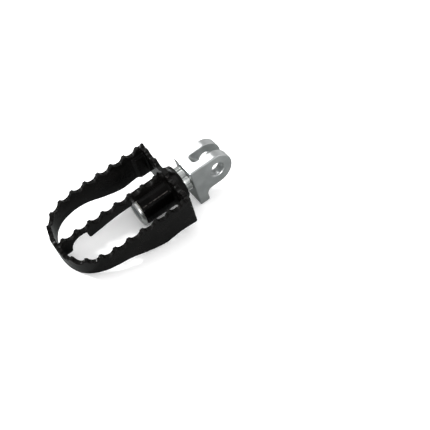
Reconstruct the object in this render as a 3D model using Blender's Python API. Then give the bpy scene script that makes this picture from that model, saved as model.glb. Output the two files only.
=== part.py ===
"""Foot peg for a motorcycle: a toothed platform that pivots on a clevis mount.

The origin is the centre of the fold-pin bore in the clevis ears. +X runs along the pivot
axis towards the tip of the platform and +Z is up, the side that the boot stands on.
"""

import math

import bmesh
import bpy
from mathutils import Matrix, Vector

MM = 0.001
GAP = 0.3                  # between pieces that touch or press together

# Platform casting
TILT = -7.5                # degrees about +X from level to the rest pose
WALL_X = 31.0              # outer face of the inner-end wall
PLATFORM_LENGTH = 88.0
HALF_WIDTH = 29.2
WALL = 3.1
STRAIGHT = 52.8            # straight part of each side, measured from WALL_X
TIP_EXPONENT = 2.5         # superellipse that closes the tip
TOOTH_TOP = 20.9
RIM_BOTTOM = ((0.0, -8.0), (0.15, -6.9), (0.30, -7.9), (0.45, -3.6), (0.60, 2.2), (0.80, 4.2), (1.0, 5.0))
RIM_PITCH = 10.43
RIM_TEETH = 10             # on each side, from the inner end to the tip
TOOTH_FLAT = 2.3
SCALLOP_DEPTH = 3.5
FIRST_SIDE_TOOTH = 5.9     # from WALL_X
END_TEETH = (11.7, 22.0)   # tooth centres on the inner-end wall, either side of the middle
CORNER_RADIUS = 1.4

# Corner pads inside the rim
PAD_Y = 24.0
PAD_X = (10.4, 13.2)       # where the pad starts and ends its slope, from WALL_X
PAD_TOP = 14.4
PAD_BOTTOM = -6.6

# Middle rail
RAIL_HALF = 1.6
RAIL_TOP = 20.9
RAIL_PITCH = 10.33
RAIL_TOOTH = 71.0          # one tooth centre; the others follow at RAIL_PITCH
RAIL_START = 30.4
RAIL_UNDER = ((58.2, 10.4), (71.0, 10.3), (79.8, 9.6), (88.6, 8.2), (91.8, 7.7), (94.6, 7.3))
HOOK_X = 96.2              # square end of the deep part of the rail
ARCH_CENTRE = (100.4, 5.9)
ARCH_RADIUS = 9.3
LUG_HALF = 2.0             # gusset that carries the rail over the flange
LUG_X = (25.0, 32.2)

# Barrel and its bores
BARREL_R = 12.0
BARREL_END = 58.2
FLANGE_R = 12.8
FLANGE_ROOT = (26.6, 14.6) # where the flange starts to widen, and its radius at the wall
FLANGE_X = 24.6
BUSH_BORE_R = 7.6
SPRING_BORE_R = 10.0
SPRING_BORE_X = 33.6
TANG_GROOVE = (1.5, 11.2)  # half width, outer radius

# Clevis mount
CLEVIS_X = 19.4
CLEVIS_HALF = 10.65
CLEVIS_TOP = 11.7
EAR_R = 12.3
EAR_Z = -0.6
FOOT_X = 11.6
FOOT_BOTTOM = -22.2
COVE_R = 4.2
SLOT_HALF = 3.9
SLOT_TOP_X = 12.0
SLOT_BOTTOM_X = -1.5
SLOT_CORNER_R = 2.4
PIN_BORE_R = 5.1
PIN_CHAMFER = 0.7
THREAD_X = 10.0

# Stop ring
RING_X = (19.7, 24.2)
RING_R = 9.3
RING_NOTCHES = 10
NOTCH_DEPTH = 1.1
NOTCH_HALF = 5.0           # degrees at the notch floor
STOP_TRAVEL = 10.0         # degrees each way from level
DOWEL_R = 0.6
DOWEL_RADIUS = 7.65
STOP_PIN_R = 1.3
STOP_PIN_RADIUS = 9.6

# Spindle parts
SLEEVE_R = 6.0
SLEEVE_BORE_R = 5.3
SLEEVE_END = 58.5
BOLT_R = 5.0
CAP_R = 11.8
CAP_X = (58.8, 61.0)
HEAD_R = 7.2
HEX_AF = 6.0
BUSH_R = BUSH_BORE_R - GAP
BUSH_BORE = 6.1            # runs on the sleeve
OUTER_BUSH_R = SPRING_BORE_R - GAP
SEAL_BORE = SLEEVE_R + GAP

# Return spring
WIRE_R = 1.0
COIL_R = 8.1
SPRING_X = (35.2, 47.6)
SPRING_TURNS = 5

SEGMENTS = 48


def clear_scene():
    for obj in list(bpy.data.objects):
        bpy.data.objects.remove(obj, do_unlink=True)


def material(name, color, roughness, metallic):
    mat = bpy.data.materials.new(name)
    mat.use_nodes = True
    shader = mat.node_tree.nodes["Principled BSDF"]
    shader.inputs["Base Color"].default_value = (*color, 1.0)
    shader.inputs["Roughness"].default_value = roughness
    shader.inputs["Metallic"].default_value = metallic
    return mat


def add_object(name, bm, mat=None, sharp=35.0):
    """Turns a bmesh in millimetres into an object in metres."""
    bmesh.ops.recalc_face_normals(bm, faces=bm.faces)
    bmesh.ops.scale(bm, vec=(MM, MM, MM), verts=bm.verts)
    mesh = bpy.data.meshes.new(name)
    bm.to_mesh(mesh)
    bm.free()
    mesh.shade_smooth()
    mesh.set_sharp_from_angle(angle=math.radians(sharp))
    obj = bpy.data.objects.new(name, mesh)
    bpy.context.scene.collection.objects.link(obj)
    if mat:
        mesh.materials.append(mat)
    return obj


def boolean(obj, other, operation):
    other.hide_render = True
    other.display_type = "WIRE"
    modifier = obj.modifiers.new(other.name, "BOOLEAN")
    modifier.operation = operation
    modifier.object = other


def revolve(profile, segments=SEGMENTS, phase=0.5):
    """Turns a closed (x, r) profile about the X axis. Points with r = 0 lie on the axis."""
    bm = bmesh.new()
    rings = []
    for x, r in profile:
        if r == 0.0:
            rings.append([bm.verts.new((x, 0.0, 0.0))])
            continue
        ring = []
        for i in range(segments):
            a = 2.0 * math.pi * (i + phase) / segments
            ring.append(bm.verts.new((x, r * math.cos(a), r * math.sin(a))))
        rings.append(ring)
    for ring_a, ring_b in zip(rings, rings[1:] + rings[:1]):
        if len(ring_a) == 1 and len(ring_b) == 1:
            continue
        for i in range(segments):
            j = (i + 1) % segments
            corners = [ring_a[i % len(ring_a)], ring_a[j % len(ring_a)]]
            corners += [ring_b[j % len(ring_b)], ring_b[i % len(ring_b)]]
            bm.faces.new(list(dict.fromkeys(corners)))
    return bm


def tube_profile(x0, x1, inner, outer, chamfer):
    c = chamfer
    return [(x0, inner), (x0, outer - c), (x0 + c, outer), (x1 - c, outer), (x1, outer - c), (x1, inner)]


def rod_profile(x0, x1, r, chamfer=0.0):
    if chamfer:
        return [(x0, 0.0), (x0, r - chamfer), (x0 + chamfer, r),
                (x1 - chamfer, r), (x1, r - chamfer), (x1, 0.0)]
    return [(x0, 0.0), (x0, r), (x1, r), (x1, 0.0)]


def prism(points, half):
    """Extrudes an (x, z) outline across Y, from -half to +half."""
    bm = bmesh.new()
    near = [bm.verts.new((x, half, z)) for x, z in points]
    far = [bm.verts.new((x, -half, z)) for x, z in points]
    bm.faces.new(near)
    bm.faces.new(far[::-1])
    count = len(points)
    for i in range(count):
        j = (i + 1) % count
        bm.faces.new([near[i], far[i], far[j], near[j]])
    return bm


def box(low, high):
    bm = bmesh.new()
    bmesh.ops.create_cube(bm, size=1.0)
    size = [b - a for a, b in zip(low, high)]
    centre = [(a + b) / 2.0 for a, b in zip(low, high)]
    bmesh.ops.scale(bm, vec=size, verts=bm.verts)
    bmesh.ops.translate(bm, vec=centre, verts=bm.verts)
    return bm


def arc(centre, radius, start, end, count):
    points = []
    for i in range(count + 1):
        a = math.radians(start + (end - start) * i / count)
        points.append((centre[0] + radius * math.cos(a), centre[1] + radius * math.sin(a)))
    return points


def smooth_value(knots, x):
    """Catmull-Rom value at x through (x, y) knots."""
    last = len(knots) - 2
    i = max(0, min(last, sum(1 for k in knots[1:] if k[0] <= x)))
    x0, y0 = knots[i]
    x1, y1 = knots[i + 1]
    before = knots[max(0, i - 1)]
    after = knots[min(len(knots) - 1, i + 2)]
    slope0 = (y1 - before[1]) / (x1 - before[0])
    slope1 = (after[1] - y0) / (after[0] - x0)
    width = x1 - x0
    t = min(1.0, max(0.0, (x - x0) / width))
    h00 = 2 * t ** 3 - 3 * t ** 2 + 1
    h10 = t ** 3 - 2 * t ** 2 + t
    h01 = -2 * t ** 3 + 3 * t ** 2
    h11 = t ** 3 - t ** 2
    return h00 * y0 + h10 * width * slope0 + h01 * y1 + h11 * width * slope1


def scallop(distance, half, depth):
    """Depth of a circular scallop at a distance from its middle."""
    if abs(distance) >= half:
        return 0.0
    radius = (half * half + depth * depth) / (2.0 * depth)
    return math.sqrt(radius * radius - distance * distance) - (radius - depth)


def half_outline():
    """Dense outer outline of the +Y half, from the middle of the end wall to the tip."""
    points = [(0.0, 0.0)]
    corner = (CORNER_RADIUS, HALF_WIDTH - CORNER_RADIUS)
    points += arc(corner, CORNER_RADIUS, 180.0, 90.0, 6)
    points.append((STRAIGHT, HALF_WIDTH))
    steps = 160
    for i in range(1, steps + 1):
        t = 0.5 * math.pi * i / steps
        x = STRAIGHT + (PLATFORM_LENGTH - STRAIGHT) * math.sin(t) ** (2.0 / TIP_EXPONENT)
        y = HALF_WIDTH * max(0.0, math.cos(t)) ** (2.0 / TIP_EXPONENT)
        points.append((x, y))
    return points


def lengths_along(points):
    total = 0.0
    lengths = [0.0]
    for (x0, y0), (x1, y1) in zip(points, points[1:]):
        total += math.hypot(x1 - x0, y1 - y0)
        lengths.append(total)
    return lengths


def point_at(points, lengths, s):
    """Point and unit direction at arc length s."""
    i = max(0, min(len(points) - 2, sum(1 for v in lengths[1:-1] if v <= s)))
    (x0, y0), (x1, y1) = points[i], points[i + 1]
    span = lengths[i + 1] - lengths[i]
    t = (s - lengths[i]) / span
    return (x0 + (x1 - x0) * t, y0 + (y1 - y0) * t), ((x1 - x0) / span, (y1 - y0) / span)


def rim_scallops(lengths):
    """(middle, half width, depth) of every scallop along the +Y half of the rim."""
    end_tooth = TOOTH_FLAT / 2.0
    corner_s = lengths[1]
    side_s = lengths[7]
    first = side_s + FIRST_SIDE_TOOTH - CORNER_RADIUS
    total = lengths[-1]
    spans = [(RAIL_HALF + 1.0, END_TEETH[0] - end_tooth)]
    spans.append((END_TEETH[0] + end_tooth, END_TEETH[1] - end_tooth))
    spans.append((END_TEETH[1] + end_tooth, corner_s - 0.6))
    spans.append((side_s + 0.2, first - 1.1))
    for i in range(RIM_TEETH - 1):
        spans.append((first + i * RIM_PITCH + end_tooth, first + (i + 1) * RIM_PITCH - end_tooth))
    last = first + (RIM_TEETH - 1) * RIM_PITCH + end_tooth
    spans.append((last, 2.0 * total - last))
    full = (RIM_PITCH - TOOTH_FLAT) / 2.0
    scallops = []
    for a, b in spans:
        half = (b - a) / 2.0
        scallops.append(((a + b) / 2.0, half, SCALLOP_DEPTH * min(1.0, half / full)))
    return scallops


def rim_stations():
    """Arc lengths on the +Y half where the rim gets a cross-section."""
    points = half_outline()
    lengths = lengths_along(points)
    scallops = rim_scallops(lengths)
    stations = set()
    for middle, half, depth in scallops:
        radius = (half * half + depth * depth) / (2.0 * depth)
        reach = math.asin(half / radius) if depth <= half else math.pi - math.asin(half / radius)
        for i in range(9):
            a = reach * (i / 4.0 - 1.0)
            stations.add(round(middle + radius * math.sin(a), 4))
    for i in range(1, 8):
        stations.add(round(lengths[i], 4))
    stations = sorted(s for s in stations if 0.0 < s < lengths[-1])
    kept = [stations[0]]
    for s in stations[1:]:
        if s - kept[-1] > 0.12:
            kept.append(s)
    return points, lengths, scallops, kept


def inner_offset(point, direction, s, lengths):
    """Point on the inner face of the wall that faces an outer point."""
    x, y = point
    if s <= lengths[1]:
        return (WALL, min(y, HALF_WIDTH - WALL))
    if s <= lengths[7]:
        return (WALL, HALF_WIDTH - WALL)
    if x <= STRAIGHT:
        return (max(x, WALL), y - WALL)
    return (x + direction[1] * WALL, y - direction[0] * WALL)


def bottom_at(point):
    return smooth_value(RIM_BOTTOM, min(1.0, point[0] / PLATFORM_LENGTH))


def end_section(outer, inner, top):
    """Cross-section of the wall on the middle plane."""
    return ((outer, 0.0, top), (outer, 0.0, bottom_at((outer, 0.0))),
            (inner, 0.0, bottom_at((inner, 0.0))), (inner, 0.0, top))


def rim_mesh():
    points, lengths, scallops, stations = rim_stations()
    corner = (WALL, HALF_WIDTH - WALL)
    sections = []
    for s in stations:
        point, direction = point_at(points, lengths, s)
        if s > lengths[7]:
            ahead = point_at(points, lengths, min(lengths[-1] - 1e-6, s + 0.4))[1]
            behind = point_at(points, lengths, s - 0.4)[1] if s - 0.4 > lengths[7] else direction
            direction = Vector((ahead[0] + behind[0], ahead[1] + behind[1])).normalized()
        inner = inner_offset(point, direction, s, lengths)
        top = TOOTH_TOP - max(scallop(s - m, h, d) for m, h, d in scallops)
        bottom = bottom_at(point)
        inner_top = TOOTH_TOP - 0.5 if inner == corner else top
        sections.append(((*point, top), (*point, bottom), (*inner, bottom_at(inner)), (*inner, inner_top)))
    mirrored = [tuple((x, -y, z) for x, y, z in section) for section in sections[::-1]]
    tip = end_section(PLATFORM_LENGTH, PLATFORM_LENGTH - WALL, TOOTH_TOP - scallops[-1][2])
    loop = [end_section(0.0, WALL, TOOTH_TOP)] + sections + [tip] + mirrored
    bm = bmesh.new()
    made = {}
    rings = []
    for section in loop:
        ring = []
        for x, y, z in section:
            key = (round(x, 4), round(y, 4), round(z, 4))
            if key not in made:
                made[key] = bm.verts.new((WALL_X + x, y, z))
            ring.append(made[key])
        rings.append(ring)
    for ring_a, ring_b in zip(rings, rings[1:] + rings[:1]):
        for i in range(4):
            j = (i + 1) % 4
            corners = list(dict.fromkeys([ring_a[i], ring_b[i], ring_b[j], ring_a[j]]))
            if len(corners) > 2:
                bm.faces.new(corners)
    bmesh.ops.triangulate(bm, faces=bm.faces)
    return bm


def rail_outline():
    """Side view of the middle rail: scalloped top, bowed underside and arch by the tip."""
    top = [(RAIL_START, RAIL_TOP)]
    end = WALL_X + PLATFORM_LENGTH - 0.8
    half = (RAIL_PITCH - TOOTH_FLAT) / 2.0
    first = RAIL_TOOTH - 4.0 * RAIL_PITCH
    for i in range(9):
        middle = first + (i + 0.5) * RAIL_PITCH
        for j in range(-6, 7):
            distance = half * math.sin(0.5 * math.pi * j / 6.0)
            if RAIL_START + 0.2 < middle + distance < end - 0.2:
                top.append((middle + distance, RAIL_TOP - scallop(distance, half, SCALLOP_DEPTH)))
    top.append((end, top[-1][1]))
    under = [(end, 5.3), (ARCH_CENTRE[0] + ARCH_RADIUS + 1.4, 5.3)]
    hook = math.degrees(math.acos((HOOK_X - ARCH_CENTRE[0]) / ARCH_RADIUS))
    under += arc(ARCH_CENTRE, ARCH_RADIUS, 0.0, hook, 14)
    under += [(HOOK_X, 8.5), (HOOK_X - 0.7, 7.5)]
    steps = 14
    x_low, x_high = RAIL_UNDER[0][0], RAIL_UNDER[-1][0]
    for i in range(steps + 1):
        x = x_high + (x_low - x_high) * i / steps
        under.append((x, smooth_value(RAIL_UNDER, x)))
    under.append((RAIL_START, 10.9))
    return top + under


def make_platform(mat):
    platform = add_object("platform", rim_mesh(), mat, sharp=30.0)
    barrel = revolve([(FLANGE_X, 0.0), (FLANGE_X, FLANGE_R - 0.8), (FLANGE_X + 0.8, FLANGE_R),
                      (FLANGE_ROOT[0], FLANGE_R), (WALL_X + 0.4, FLANGE_ROOT[1]),
                      (WALL_X + 1.4, FLANGE_ROOT[1]), (WALL_X + 1.4, BARREL_R + 1.2),
                      (WALL_X + WALL + 0.5, BARREL_R + 1.2), (WALL_X + WALL + 1.7, BARREL_R),
                      (BARREL_END - 0.5, BARREL_R), (BARREL_END, BARREL_R - 0.5), (BARREL_END, 0.0)])
    boolean(platform, add_object("barrel_form", barrel), "UNION")
    boolean(platform, add_object("rail_form", prism(rail_outline(), RAIL_HALF)), "UNION")
    start, end = LUG_X
    lug = [(start + 0.4, 12.2), (WALL_X - 0.4, RAIL_TOP), (end, RAIL_TOP), (end, 11.0), (start + 0.4, 11.0)]
    boolean(platform, add_object("lug_form", prism(lug, LUG_HALF)), "UNION")
    for side, name in ((1.0, "pad_near_form"), (-1.0, "pad_far_form")):
        bm = bmesh.new()
        plan = [(WALL_X + 1.0, HALF_WIDTH - 1.0), (WALL_X + 1.0, PAD_Y), (WALL_X + PAD_X[0], PAD_Y),
                (WALL_X + PAD_X[1], HALF_WIDTH - WALL), (WALL_X + PAD_X[1], HALF_WIDTH - 1.0)]
        low = [bm.verts.new((x, side * y, PAD_BOTTOM)) for x, y in plan]
        high = [bm.verts.new((x, side * y, PAD_TOP)) for x, y in plan]
        bm.faces.new(low)
        bm.faces.new(high)
        for i in range(len(plan)):
            j = (i + 1) % len(plan)
            bm.faces.new([low[i], low[j], high[j], high[i]])
        boolean(platform, add_object(name, bm), "UNION")
    open_end = BARREL_END + 2.0
    bores = revolve([(FLANGE_X - 2.0, 0.0), (FLANGE_X - 2.0, BUSH_BORE_R), (SPRING_BORE_X, BUSH_BORE_R),
                     (SPRING_BORE_X, SPRING_BORE_R), (open_end, SPRING_BORE_R), (open_end, 0.0)])
    boolean(platform, add_object("bore_cutter", bores), "DIFFERENCE")
    relief = revolve(rod_profile(BARREL_END, CAP_X[1] + 0.4, CAP_R + 0.4))
    boolean(platform, add_object("cap_relief_cutter", relief), "DIFFERENCE")
    groove = box((SPRING_BORE_X + 0.4, -TANG_GROOVE[0], 6.0), (open_end, TANG_GROOVE[0], TANG_GROOVE[1]))
    boolean(platform, add_object("tang_groove_cutter", groove), "DIFFERENCE")
    hole = revolve(rod_profile(FLANGE_X - 1.0, FLANGE_X + 5.2, STOP_PIN_R + GAP), 20)
    bmesh.ops.translate(hole, vec=(0.0, 0.0, -STOP_PIN_RADIUS), verts=hole.verts)
    boolean(platform, add_object("stop_pin_cutter", hole), "DIFFERENCE")
    return platform


def make_clevis(mat):
    outline = [(CLEVIS_X, CLEVIS_TOP)]
    outline += arc((0.0, EAR_Z), EAR_R, 90.0, 270.0, 32)
    cove = (FOOT_X - COVE_R, EAR_Z - EAR_R - COVE_R)
    outline += arc(cove, COVE_R, 90.0, 0.0, 8)
    outline += arc((FOOT_X + 1.0, FOOT_BOTTOM + 1.0), 1.0, 180.0, 270.0, 4)
    outline.append((CLEVIS_X, FOOT_BOTTOM))
    clevis = add_object("clevis_mount", prism(outline, CLEVIS_HALF), mat, sharp=25.0)
    edge = clevis.modifiers.new("edge_chamfer", "BEVEL")
    edge.width = 0.5 * MM
    edge.segments = 1
    edge.limit_method = "ANGLE"
    edge.angle_limit = math.radians(40.0)
    slot = [(SLOT_TOP_X + 1.08, CLEVIS_TOP + 2.0), (SLOT_BOTTOM_X - 1.62, EAR_Z - EAR_R - 3.0),
            (-EAR_R - 4.0, EAR_Z - EAR_R - 3.0), (-EAR_R - 4.0, CLEVIS_TOP + 2.0)]
    slot = prism(slot, SLOT_HALF)
    corners = [edge for edge in slot.edges
               if all(v.co.x > -EAR_R for v in edge.verts) and edge.verts[0].co.y == edge.verts[1].co.y]
    bmesh.ops.bevel(slot, geom=corners, offset=SLOT_CORNER_R, offset_type="OFFSET", segments=6,
                    profile=0.5, affect="EDGES")
    boolean(clevis, add_object("slot_cutter", slot), "DIFFERENCE")
    face = CLEVIS_HALF
    mouth = PIN_BORE_R + PIN_CHAMFER + 1.0
    bore = [(-face - 1.0, 0.0), (-face - 1.0, mouth), (-face + PIN_CHAMFER, PIN_BORE_R),
            (face - PIN_CHAMFER, PIN_BORE_R), (face + 1.0, mouth), (face + 1.0, 0.0)]
    pin = revolve(bore, 40)
    across = Matrix.Rotation(math.radians(90.0), 3, "Z")
    bmesh.ops.rotate(pin, cent=(0.0, 0.0, 0.0), matrix=across, verts=pin.verts)
    boolean(clevis, add_object("pin_bore_cutter", pin), "DIFFERENCE")
    thread = revolve([(THREAD_X, 0.0), (THREAD_X, BOLT_R + GAP), (CLEVIS_X - 0.7, BOLT_R + GAP),
                      (CLEVIS_X + 1.0, BOLT_R + GAP + 1.7), (CLEVIS_X + 1.0, 0.0)])
    boolean(clevis, add_object("thread_cutter", thread), "DIFFERENCE")
    for side, name in ((1.0, "dowel_near_cutter"), (-1.0, "dowel_far_cutter")):
        hole = revolve(rod_profile(CLEVIS_X - 4.0, CLEVIS_X + 1.0, DOWEL_R + GAP), 16)
        bmesh.ops.translate(hole, vec=(0.0, side * DOWEL_RADIUS, 0.0), verts=hole.verts)
        boolean(clevis, add_object(name, hole), "DIFFERENCE")
    return clevis


def ring_outline():
    """Rim of the stop ring as (angle, radius): square notches and one wide notch for the stop pin."""
    step = 360.0 / RING_NOTCHES
    floor = RING_R - NOTCH_DEPTH
    wide = STOP_TRAVEL + math.degrees(math.asin(STOP_PIN_R / STOP_PIN_RADIUS)) + 1.2
    stop_floor = STOP_PIN_RADIUS - STOP_PIN_R - GAP
    points = []
    for offset in (-wide, -wide / 2.0, 0.0, wide / 2.0, wide):
        points.append((270.0 + offset, stop_floor))
    for side in (-1.0, 1.0):
        points.append((270.0 + side * (wide + 0.4), RING_R - 0.25))
        points.append((270.0 + side * (wide + 1.9), RING_R))
    for i in range(1, RING_NOTCHES):
        middle = 270.0 + i * step
        for offset, radius in ((-1.0, floor), (0.0, floor), (1.0, floor)):
            points.append((middle + offset * NOTCH_HALF, radius))
        for side in (-1.0, 1.0):
            points.append((middle + side * (NOTCH_HALF + 0.6), RING_R - 0.25))
            points.append((middle + side * (NOTCH_HALF + 2.1), RING_R))
    for i in range(1, RING_NOTCHES - 1):
        lobe = 270.0 + (i + 0.5) * step
        points += [(lobe - 4.0, RING_R), (lobe + 4.0, RING_R)]
    return sorted((a % 360.0, r) for a, r in points)


def make_stop_ring(mat):
    outline = ring_outline()
    bm = bmesh.new()
    x0, x1 = RING_X
    rings = []
    for x, inner in ((x0, False), (x1, False), (x1, True), (x0, True)):
        ring = []
        for angle, radius in outline:
            a = math.radians(angle)
            r = SEAL_BORE if inner else radius
            ring.append(bm.verts.new((x, r * math.cos(a), r * math.sin(a))))
        rings.append(ring)
    count = len(outline)
    for ring_a, ring_b in zip(rings, rings[1:] + rings[:1]):
        for i in range(count):
            j = (i + 1) % count
            bm.faces.new([ring_a[i], ring_a[j], ring_b[j], ring_b[i]])
    ring = add_object("stop_ring", bm, mat, sharp=25.0)
    for side, name in ((1.0, "ring_near_cutter"), (-1.0, "ring_far_cutter")):
        hole = revolve(rod_profile(RING_X[0] - 1.0, RING_X[0] + 3.2, DOWEL_R + GAP), 16)
        bmesh.ops.translate(hole, vec=(0.0, side * DOWEL_RADIUS, 0.0), verts=hole.verts)
        boolean(ring, add_object(name, hole), "DIFFERENCE")
    return ring


def make_dowel(name, side, mat):
    pin = revolve(rod_profile(CLEVIS_X - 3.7, RING_X[0] + 2.9, DOWEL_R, 0.15), 16)
    bmesh.ops.translate(pin, vec=(0.0, side * DOWEL_RADIUS, 0.0), verts=pin.verts)
    return add_object(name, pin, mat)


def make_sleeve(mat):
    profile = tube_profile(CLEVIS_X + GAP, SLEEVE_END, SLEEVE_BORE_R, SLEEVE_R, 0.3)
    sleeve = add_object("pivot_sleeve", revolve(profile), mat)
    hole = revolve(rod_profile(0.0, SLEEVE_R + 2.0, WIRE_R + GAP), 16)
    upright = Matrix.Rotation(math.radians(-90.0), 3, "Y")
    bmesh.ops.rotate(hole, cent=(0.0, 0.0, 0.0), matrix=upright, verts=hole.verts)
    bmesh.ops.translate(hole, vec=(SPRING_X[0], 0.0, 0.0), verts=hole.verts)
    boolean(sleeve, add_object("tang_hole_cutter", hole), "DIFFERENCE")
    return sleeve


def make_bolt(mat):
    x1 = CAP_X[1] - 0.1
    cone = HEAD_R - BOLT_R
    profile = [(THREAD_X + 0.4, 0.0), (THREAD_X + 0.4, BOLT_R - 0.8), (THREAD_X + 1.2, BOLT_R),
               (x1 - cone, BOLT_R), (x1 - 0.2, HEAD_R - 0.2), (x1, HEAD_R - 0.2), (x1, 0.0)]
    bolt = add_object("pivot_bolt", revolve(profile), mat)
    socket = revolve(rod_profile(x1 - 3.4, x1 + 1.0, HEX_AF / 2.0 / math.cos(math.pi / 6.0)), 6)
    boolean(bolt, add_object("hex_cutter", socket), "DIFFERENCE")
    return bolt


def make_end_cap(mat):
    x0, x1 = CAP_X
    bore = BOLT_R + GAP
    cone = x1 - x0
    profile = [(x0, bore), (x0, CAP_R - 0.3), (x0 + 0.3, CAP_R), (x1 - 0.5, CAP_R), (x1, CAP_R - 0.5),
               (x1, bore + cone), (x0 + 0.02, bore + 0.02)]
    return add_object("end_cap", revolve(profile), mat)


def make_spring(mat):
    """Torsion spring: its outer tang ends in the barrel groove, which has turned with the platform."""
    x0, x1 = SPRING_X
    points = [Vector((x0, 0.0, 5.6)), Vector((x0, 0.0, 6.7))]
    count = SPRING_TURNS * 22
    for i in range(1, count):
        t = i / count
        a = math.radians(90.0 + (360.0 * SPRING_TURNS + TILT) * t)
        points.append(Vector((x0 + (x1 - x0) * t, COIL_R * math.cos(a), COIL_R * math.sin(a))))
    tang = Vector((0.0, -math.sin(math.radians(TILT)), math.cos(math.radians(TILT))))
    points += [Vector((x1, 0.0, 0.0)) + tang * 9.3, Vector((x1, 0.0, 0.0)) + tang * 10.8]
    sides = 8
    bm = bmesh.new()
    rings = []
    for i, point in enumerate(points):
        before = points[max(0, i - 1)]
        after = points[min(len(points) - 1, i + 1)]
        tangent = (after - before).normalized()
        side = tangent.cross(Vector((1.0, 0.0, 0.0))).normalized()
        up = side.cross(tangent)
        ring = []
        for k in range(sides):
            a = 2.0 * math.pi * k / sides
            ring.append(bm.verts.new(point + WIRE_R * (math.cos(a) * side + math.sin(a) * up)))
        rings.append(ring)
    for ring_a, ring_b in zip(rings, rings[1:]):
        for k in range(sides):
            j = (k + 1) % sides
            bm.faces.new([ring_a[k], ring_a[j], ring_b[j], ring_b[k]])
    bm.faces.new(rings[0])
    bm.faces.new(rings[-1])
    return add_object("return_spring", bm, mat, sharp=50.0)


def make_stop_pin(mat):
    pin = revolve(rod_profile(RING_X[0] + 1.1, FLANGE_X + 4.9, STOP_PIN_R, 0.25), 20)
    bmesh.ops.translate(pin, vec=(0.0, 0.0, -STOP_PIN_RADIUS), verts=pin.verts)
    return add_object("stop_pin", pin, mat)


def build():
    clear_scene()
    black = material("black_coat", (0.018, 0.016, 0.016), 0.38, 0.3)
    silver = material("clevis_satin", (0.62, 0.64, 0.65), 0.34, 1.0)
    ring_mat = material("ring_steel", (0.70, 0.70, 0.68), 0.30, 1.0)
    steel = material("sleeve_steel", (0.55, 0.55, 0.56), 0.25, 1.0)
    zinc = material("bolt_zinc", (0.66, 0.67, 0.68), 0.28, 1.0)
    cap_mat = material("cap_satin", (0.72, 0.73, 0.72), 0.30, 1.0)
    dowel_mat = material("dowel_steel", (0.50, 0.50, 0.52), 0.22, 1.0)
    pin_mat = material("stop_pin_steel", (0.45, 0.45, 0.47), 0.25, 1.0)
    bronze = material("inner_bush_bronze", (0.62, 0.42, 0.20), 0.35, 1.0)
    bronze_outer = material("outer_bush_bronze", (0.62, 0.42, 0.20), 0.35, 1.0)
    spring_mat = material("spring_steel", (0.35, 0.35, 0.37), 0.30, 1.0)
    rubber = material("inner_seal_rubber", (0.02, 0.02, 0.02), 0.70, 0.0)
    rubber_outer = material("outer_seal_rubber", (0.02, 0.02, 0.02), 0.70, 0.0)
    thrust = material("thrust_washer_acetal", (0.75, 0.73, 0.66), 0.50, 0.0)

    make_clevis(silver)
    make_stop_ring(ring_mat)
    make_dowel("ring_dowel_near", 1.0, dowel_mat)
    make_dowel("ring_dowel_far", -1.0, dowel_mat)
    make_sleeve(steel)
    make_bolt(zinc)
    make_end_cap(cap_mat)
    make_spring(spring_mat)

    fixed = set(bpy.data.objects)
    make_platform(black)
    make_stop_pin(pin_mat)
    add_object("inner_bush", revolve(tube_profile(27.3, 33.4, BUSH_BORE, BUSH_R, 0.3)), bronze)
    add_object("outer_bush", revolve(tube_profile(49.4, 54.6, BUSH_BORE, OUTER_BUSH_R, 0.3)), bronze_outer)
    add_object("inner_dust_seal", revolve(tube_profile(24.8, 27.0, SEAL_BORE, BUSH_R, 0.3)), rubber)
    add_object("outer_dust_seal", revolve(tube_profile(54.9, 56.6, SEAL_BORE, OUTER_BUSH_R, 0.3)), rubber_outer)
    add_object("thrust_washer", revolve(tube_profile(56.9, 58.4, SEAL_BORE, OUTER_BUSH_R, 0.2)), thrust)
    turn = Matrix.Rotation(math.radians(TILT), 4, "X")
    for obj in set(bpy.data.objects) - fixed:
        obj.matrix_world = turn


build()
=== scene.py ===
import math

import bpy
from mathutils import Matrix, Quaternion, Vector


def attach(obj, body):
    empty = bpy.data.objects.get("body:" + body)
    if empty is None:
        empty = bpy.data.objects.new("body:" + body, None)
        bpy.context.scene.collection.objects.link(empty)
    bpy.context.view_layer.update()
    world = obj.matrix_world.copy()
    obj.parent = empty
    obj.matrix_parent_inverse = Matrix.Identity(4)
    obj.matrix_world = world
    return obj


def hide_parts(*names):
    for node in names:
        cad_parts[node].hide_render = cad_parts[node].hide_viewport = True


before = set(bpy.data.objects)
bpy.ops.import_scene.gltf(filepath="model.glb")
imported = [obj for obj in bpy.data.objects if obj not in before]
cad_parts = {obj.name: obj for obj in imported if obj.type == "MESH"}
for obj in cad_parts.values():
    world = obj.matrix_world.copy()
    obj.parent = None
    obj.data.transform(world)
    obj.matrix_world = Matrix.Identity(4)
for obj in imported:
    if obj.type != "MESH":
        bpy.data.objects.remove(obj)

MM = 0.001
CLEVIS = "clevis_assembly"
PLATFORM = "platform_assembly"

# Camera at the product picture's viewing angle
CAMERA_POSITION = Vector((0.12835, 0.36294, 0.43304))
CAMERA_LOOK = Vector((-0.1919, -0.5856, -0.7876))
CAMERA_ROLL = -20.73       # degrees about the line of sight
CAMERA_LENS = 70.57        # mm, on the sensor width below
CAMERA_SENSOR = 36.0
CAMERA_CLIP = (0.01, 50.0)

# The peg lies on its clevis foot and the underside of the platform
FLOOR_NORMAL = Vector((-0.243, 0.0, 0.970)).normalized()
FLOOR_SIZE = 6.0
FLOOR_GAP = 0.05           # mm under the lowest point

# The camera sees bright, slightly overexposed paper; the object gets less light back from it
PAPER_SEEN = (0.97, 0.97, 0.97)
PAPER_GLOW = (0.12, 0.12, 0.12)
PAPER_BOUNCE = (0.28, 0.29, 0.287)
PAPER_ROUGHNESS = 0.9
PAPER_SPECULAR = 0.1

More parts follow.
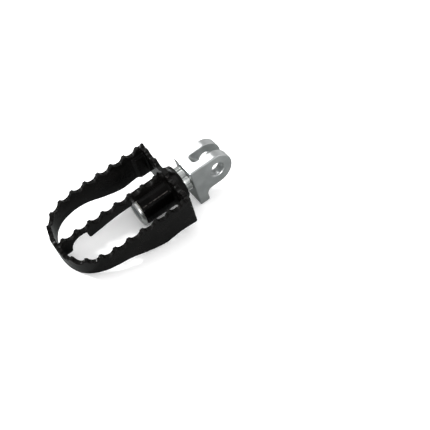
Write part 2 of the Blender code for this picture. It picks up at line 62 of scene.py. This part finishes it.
# What shiny surfaces reflect at the horizon and overhead, and what lights matt ones
ROOM_HORIZON = 0.95
ROOM_ZENITH = 0.28
ROOM_DOME = 0.82
ROOM_BLEND = (-0.2, 0.9)   # height of the view direction where the blend starts and ends

# Softboxes: name, direction from the object, distance, size, radiance
LIGHT_TARGET = Vector((0.06, 0.0, 0.0))
LIGHTS = (
    ("overhead", (0.0, -0.1, 1.0), 1.3, 0.7, 1.2),
    ("back", (-0.19, -0.62, 0.76), 1.2, 0.35, 6.0),
    ("inner_side", (-0.80, 0.05, 0.60), 1.2, 0.7, 1.3),
    ("front_glint", (0.133, 0.934, 0.295), 1.2, 0.30, 38.0),
    ("side_glint", (0.43, -0.655, 0.62), 1.2, 0.14, 330.0),
)

# Range of a noise value that the colour and roughness ramps spread out
CLOUD = (0.3, 0.7)

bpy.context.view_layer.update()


# ---------------------------------------------------------------- materials

class Shader:
    """A node tree with a Principled shader and short calls for procedural detail."""

    def __init__(self, name):
        self.material = bpy.data.materials.new(name)
        self.material.use_nodes = True
        self.tree = self.material.node_tree
        self.principled = self.tree.nodes["Principled BSDF"]
        coords = self.node("ShaderNodeTexCoord")
        scaled = self.node("ShaderNodeVectorMath", operation="SCALE")
        scaled.inputs["Scale"].default_value = 1.0 / MM
        self.link(coords.outputs["Object"], scaled.inputs[0])
        self.millimetres = scaled.outputs[0]

    def node(self, kind, **settings):
        made = self.tree.nodes.new(kind)
        for key, value in settings.items():
            setattr(made, key, value)
        return made

    def link(self, output, target):
        self.tree.links.new(output, target)

    def set(self, **values):
        for key, value in values.items():
            socket = self.principled.inputs[key.replace("_", " ")]
            if isinstance(value, bpy.types.NodeSocket):
                self.link(value, socket)
            elif isinstance(value, tuple):
                socket.default_value = (*value, 1.0)
            else:
                socket.default_value = value

    def noise(self, size, detail=3.0, stretch=(1.0, 1.0, 1.0), roughness=0.55):
        """Noise with features of about size millimetres, longer along an axis where stretch is
        above 1."""
        mapping = self.node("ShaderNodeMapping")
        mapping.inputs["Scale"].default_value = [1.0 / s for s in stretch]
        self.link(self.millimetres, mapping.inputs["Vector"])
        made = self.node("ShaderNodeTexNoise")
        made.inputs["Scale"].default_value = 1.0 / size
        made.inputs["Detail"].default_value = detail
        made.inputs["Roughness"].default_value = roughness
        self.link(mapping.outputs[0], made.inputs["Vector"])
        return made.outputs["Fac"]

    def ramp(self, value, low, high, out_low, out_high):
        made = self.node("ShaderNodeMapRange", interpolation_type="SMOOTHSTEP")
        limits = (("From Min", low), ("From Max", high), ("To Min", out_low), ("To Max", out_high))
        for key, number in limits:
            made.inputs[key].default_value = number
        self.link(value, made.inputs["Value"])
        return made.outputs["Result"]

    def mix_colors(self, factor, first, second):
        made = self.node("ShaderNodeMix", data_type="RGBA")
        self.link(factor, made.inputs["Factor"])
        for value, socket in ((first, made.inputs[6]), (second, made.inputs[7])):
            if isinstance(value, bpy.types.NodeSocket):
                self.link(value, socket)
            else:
                socket.default_value = (*value, 1.0)
        return made.outputs[2]

    def math(self, operation, a, b):
        made = self.node("ShaderNodeMath", operation=operation)
        for value, socket in ((a, made.inputs[0]), (b, made.inputs[1])):
            if isinstance(value, bpy.types.NodeSocket):
                self.link(value, socket)
            else:
                socket.default_value = value
        return made.outputs[0]

    def edges(self, low=0.52, high=0.60):
        """1 on convex edges and 0 elsewhere."""
        geometry = self.node("ShaderNodeNewGeometry")
        return self.ramp(geometry.outputs["Pointiness"], low, high, 0.0, 1.0)

    def turned_lines(self, pitch):
        """Fine circles about the X axis, as a lathe leaves them, on faces and on the round."""
        split = self.node("ShaderNodeSeparateXYZ")
        self.link(self.millimetres, split.inputs[0])
        y2 = self.math("MULTIPLY", split.outputs["Y"], split.outputs["Y"])
        z2 = self.math("MULTIPLY", split.outputs["Z"], split.outputs["Z"])
        radius = self.math("SQRT", self.math("ADD", y2, z2), 0.0)
        travel = self.math("ADD", radius, split.outputs["X"])
        return self.math("SINE", self.math("MULTIPLY", travel, 2.0 * math.pi / pitch), 0.0)

    def bump(self, *layers):
        """Stacks bumps, each (height, distance in mm, strength), on the shader's normal."""
        previous = None
        for height, distance, strength in layers:
            made = self.node("ShaderNodeBump")
            made.inputs["Distance"].default_value = distance * MM
            made.inputs["Strength"].default_value = strength
            self.link(height, made.inputs["Height"])
            if previous:
                self.link(previous, made.inputs["Normal"])
            previous = made.outputs["Normal"]
        self.link(previous, self.principled.inputs["Normal"])


def black_coat():
    """Smooth black coat, a little uneven, painted lighter grey in places on its sharpest edges:
    partly edge wear, partly a painted edge highlight.
    """
    s = Shader("black_satin_coat")
    cloud = s.noise(9.0, 2.0)
    speck = s.noise(0.35, 2.0)
    tone = s.mix_colors(s.ramp(cloud, *CLOUD, 0.0, 1.0),
                        (0.0018, 0.0017, 0.0016), (0.0034, 0.0031, 0.0029))
    # Lighter grey on the sharpest edges, in patches: partly edge wear, partly a painted highlight
    # on the edges.
    edge_patch_mask = s.ramp(s.noise(1.6, 3.0), 0.42, 0.62, 0.0, 0.4)
    wear_and_edge_highlight = s.math("MULTIPLY", s.edges(0.62, 0.72), edge_patch_mask)
    s.set(Base_Color=s.mix_colors(wear_and_edge_highlight, tone, (0.15, 0.135, 0.125)),
          Roughness=s.math("ADD", s.ramp(cloud, *CLOUD, 0.19, 0.25),
                           s.ramp(speck, 0.35, 0.7, 0.0, 0.05)),
          Specular_IOR_Level=0.10)
    s.bump((s.noise(1.3, 2.0), 0.035, 0.30), (s.noise(0.28, 2.0), 0.010, 0.22))
    return s.material


def plated_metal(name, light, dark, roughness, grain, lay=(1.0, 1.0, 1.0)):
    """Plated or ground metal: fine grain along a lay, faint cloudiness and a painted highlight, a
    brighter colour, on convex edges.
    """
    s = Shader(name)
    cloud = s.noise(7.0, 3.0)
    fine = s.noise(grain, 3.0, lay)
    tone = s.mix_colors(s.ramp(cloud, *CLOUD, 0.0, 1.0), dark, light)
    bright = tuple(min(1.0, c * 1.25) for c in light)
    # Painted highlight: convex edges get a brighter base colour.
    s.set(Base_Color=s.mix_colors(s.math("MULTIPLY", s.edges(), 0.6), tone, bright),
          Metallic=1.0,
          Roughness=s.math("ADD", s.ramp(cloud, *CLOUD, roughness - 0.03, roughness + 0.04),
                           s.ramp(fine, *CLOUD, -0.03, 0.05)))
    s.bump((s.noise(grain * 6.0, 2.0, lay), 0.02, 0.18), (fine, 0.008, 0.25))
    return s.material


def turned_metal(name, light, dark, roughness, pitch):
    """Metal with the fine lines of a lathe tool, pitch millimetres apart."""
    s = Shader(name)
    cloud = s.noise(3.0, 3.0)
    lines = s.turned_lines(pitch)
    s.set(Base_Color=s.mix_colors(s.ramp(cloud, *CLOUD, 0.0, 1.0), dark, light),
          Metallic=1.0,
          Roughness=s.math("ADD", s.ramp(cloud, *CLOUD, roughness - 0.03, roughness + 0.05),
                           s.ramp(lines, -1.0, 1.0, -0.03, 0.03)))
    s.bump((lines, 0.010, 0.30), (s.noise(0.3, 3.0), 0.008, 0.20))
    return s.material


def moulded(name, light, dark, roughness, grain):
    """Rubber or plastic with a fine matt grain."""
    s = Shader(name)
    cloud = s.noise(2.5, 3.0)
    fine = s.noise(grain, 3.0)
    s.set(Base_Color=s.mix_colors(s.ramp(cloud, *CLOUD, 0.0, 1.0), dark, light),
          Roughness=s.ramp(fine, *CLOUD, roughness - 0.06, roughness + 0.06))
    s.bump((fine, 0.02, 0.3))
    return s.material


# ------------------------------------------------------------------- pieces

def finished_copy(node, name, body, material, voxel, steps):
    """A piece in the shape of a CAD node, with the small radii that casting, forging or
    plating leaves on its edges. The voxel size is in millimetres; more steps round more."""
    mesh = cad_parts[node].data.copy()
    piece = bpy.data.objects.new(name, mesh)
    bpy.context.scene.collection.objects.link(piece)
    mesh.materials.clear()
    remesh = piece.modifiers.new("rebuild", "REMESH")
    remesh.mode = "VOXEL"
    remesh.voxel_size = voxel * MM
    smooth = piece.modifiers.new("soften", "SMOOTH")
    smooth.factor = 0.5
    smooth.iterations = steps
    depsgraph = bpy.context.evaluated_depsgraph_get()
    piece.data = bpy.data.meshes.new_from_object(piece.evaluated_get(depsgraph))
    piece.modifiers.clear()
    piece.data.name = name
    piece.data.materials.clear()
    piece.data.materials.append(material)
    piece.data.shade_smooth()
    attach(piece, body)
    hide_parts(node)
    return piece


def repaint(node, material):
    node_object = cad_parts[node]
    node_object.data.materials.clear()
    node_object.data.materials.append(material)


black = black_coat()
silver = plated_metal("clevis_satin", (0.56, 0.575, 0.575), (0.50, 0.515, 0.515), 0.34, 0.16)
ring_steel = plated_metal("ring_steel", (0.50, 0.515, 0.505), (0.40, 0.415, 0.405), 0.26, 0.12)
ground = plated_metal("ground_steel", (0.56, 0.56, 0.57), (0.48, 0.48, 0.49), 0.22, 0.10,
                      lay=(6.0, 1.0, 1.0))
wire = plated_metal("spring_steel", (0.30, 0.30, 0.31), (0.22, 0.22, 0.23), 0.30, 0.14)
zinc = turned_metal("bright_zinc", (0.66, 0.68, 0.70), (0.58, 0.60, 0.62), 0.24, 0.35)
cap = turned_metal("cap_satin", (0.90, 0.905, 0.89), (0.84, 0.845, 0.83), 0.42, 0.28)
bronze = turned_metal("bush_bronze", (0.66, 0.44, 0.22), (0.56, 0.36, 0.17), 0.34, 0.22)
rubber = moulded("seal_rubber", (0.022, 0.022, 0.022), (0.014, 0.014, 0.014), 0.68, 0.25)
acetal = moulded("thrust_acetal", (0.78, 0.76, 0.69), (0.72, 0.70, 0.63), 0.48, 0.4)

finished_copy("platform", "platform_casting", PLATFORM, black, 0.30, 3)
finished_copy("clevis_mount", "clevis_forging", CLEVIS, silver, 0.25, 4)
finished_copy("stop_ring", "castellated_ring", CLEVIS, ring_steel, 0.15, 4)
finished_copy("end_cap", "end_cap_turned", CLEVIS, cap, 0.15, 3)
finished_copy("pivot_bolt", "bolt_head_and_shank", CLEVIS, zinc, 0.15, 3)

for node, slot, finish in (
        ("ring_dowel_near", "dowel_steel", ground),
        ("ring_dowel_far", "dowel_steel", ground),
        ("pivot_sleeve", "sleeve_steel", ground),
        ("return_spring", "spring_steel", wire),
        ("stop_pin", "stop_pin_steel", ground),
        ("inner_bush", "bush_bronze", bronze),
        ("outer_bush", "bush_bronze", bronze),
        ("inner_dust_seal", "seal_rubber", rubber),
        ("outer_dust_seal", "seal_rubber", rubber),
        ("thrust_washer", "thrust_acetal", acetal)):
    repaint(node, finish)


# -------------------------------------------------------------------- stage

def lowest_along(normal):
    """Signed distance along normal of the object's lowest point."""
    lowest = 1.0
    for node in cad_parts.values():
        for vertex in node.data.vertices:
            lowest = min(lowest, vertex.co.dot(normal))
    return lowest


def make_paper():
    paper = bpy.data.materials.new("paper")
    paper.use_nodes = True
    tree = paper.node_tree
    shader = tree.nodes["Principled BSDF"]
    path = tree.nodes.new("ShaderNodeLightPath")
    tone = tree.nodes.new("ShaderNodeMix")
    tone.data_type = "RGBA"
    tone.inputs[6].default_value = (*PAPER_BOUNCE, 1.0)
    tone.inputs[7].default_value = (*PAPER_SEEN, 1.0)
    tree.links.new(path.outputs["Is Camera Ray"], tone.inputs["Factor"])
    tree.links.new(tone.outputs[2], shader.inputs["Base Color"])
    shader.inputs["Emission Color"].default_value = (*PAPER_GLOW, 1.0)
    tree.links.new(path.outputs["Is Camera Ray"], shader.inputs["Emission Strength"])
    shader.inputs["Roughness"].default_value = PAPER_ROUGHNESS
    shader.inputs["Specular IOR Level"].default_value = PAPER_SPECULAR
    # Seen from below the paper is clear, so that it never hides the object
    geometry = tree.nodes.new("ShaderNodeNewGeometry")
    clear = tree.nodes.new("ShaderNodeBsdfTransparent")
    mix = tree.nodes.new("ShaderNodeMixShader")
    tree.links.new(geometry.outputs["Backfacing"], mix.inputs[0])
    tree.links.new(shader.outputs[0], mix.inputs[1])
    tree.links.new(clear.outputs[0], mix.inputs[2])
    tree.links.new(mix.outputs[0], tree.nodes["Material Output"].inputs["Surface"])
    return paper


def make_floor():
    mesh = bpy.data.meshes.new("floor")
    half = FLOOR_SIZE / 2.0
    corners = [(-half, -half, 0.0), (half, -half, 0.0), (half, half, 0.0), (-half, half, 0.0)]
    mesh.from_pydata(corners, [], [(0, 1, 2, 3)])
    floor = bpy.data.objects.new("floor", mesh)
    bpy.context.scene.collection.objects.link(floor)
    floor.rotation_mode = "QUATERNION"
    floor.rotation_quaternion = FLOOR_NORMAL.to_track_quat("Z", "Y")
    floor.location = FLOOR_NORMAL * (lowest_along(FLOOR_NORMAL) - FLOOR_GAP * MM)
    mesh.materials.append(make_paper())


def area_light(name, direction, distance, size, radiance):
    """A square softbox. Direction points from the object to the light, in the part's frame."""
    data = bpy.data.lights.new(name, "AREA")
    data.shape = "SQUARE"
    data.size = size
    data.energy = radiance * math.pi * size * size
    light = bpy.data.objects.new(name, data)
    bpy.context.scene.collection.objects.link(light)
    towards = Vector(direction).normalized()
    light.location = LIGHT_TARGET + towards * distance
    light.rotation_mode = "QUATERNION"
    light.rotation_quaternion = towards.to_track_quat("Z", "Y")


def make_world():
    """A white dome for matt surfaces; shiny ones reflect a room, dimmer overhead."""
    world = bpy.data.worlds.new("room")
    world.use_nodes = True
    bpy.context.scene.world = world
    tree = world.node_tree
    coords = tree.nodes.new("ShaderNodeTexCoord")
    split = tree.nodes.new("ShaderNodeSeparateXYZ")
    ramp = tree.nodes.new("ShaderNodeMapRange")
    ramp.interpolation_type = "SMOOTHSTEP"
    ramp.inputs["From Min"].default_value = ROOM_BLEND[0]
    ramp.inputs["From Max"].default_value = ROOM_BLEND[1]
    ramp.inputs["To Min"].default_value = ROOM_HORIZON
    ramp.inputs["To Max"].default_value = ROOM_ZENITH
    tree.links.new(coords.outputs["Generated"], split.inputs[0])
    tree.links.new(split.outputs["Z"], ramp.inputs["Value"])
    path = tree.nodes.new("ShaderNodeLightPath")
    glossy = tree.nodes.new("ShaderNodeMix")
    glossy.inputs[2].default_value = ROOM_DOME
    tree.links.new(path.outputs["Is Glossy Ray"], glossy.inputs["Factor"])
    tree.links.new(ramp.outputs[0], glossy.inputs[3])
    seen = tree.nodes.new("ShaderNodeMix")
    seen.inputs[3].default_value = 1.0
    tree.links.new(path.outputs["Is Camera Ray"], seen.inputs["Factor"])
    tree.links.new(glossy.outputs[0], seen.inputs[2])
    background = tree.nodes["Background"]
    background.inputs["Color"].default_value = (1.0, 1.0, 1.0, 1.0)
    tree.links.new(seen.outputs[0], background.inputs["Strength"])


def make_camera():
    data = bpy.data.cameras.new("camera")
    data.lens = CAMERA_LENS
    data.sensor_width = CAMERA_SENSOR
    data.clip_start, data.clip_end = CAMERA_CLIP
    camera = bpy.data.objects.new("camera", data)
    bpy.context.scene.collection.objects.link(camera)
    camera.location = CAMERA_POSITION
    camera.rotation_mode = "QUATERNION"
    level = CAMERA_LOOK.to_track_quat("-Z", "Y")
    camera.rotation_quaternion = level @ Quaternion((0.0, 0.0, 1.0), math.radians(CAMERA_ROLL))
    bpy.context.scene.camera = camera


make_floor()
make_world()
for light in LIGHTS:
    area_light(*light)
make_camera()
bpy.context.scene.view_settings.view_transform = "Standard"
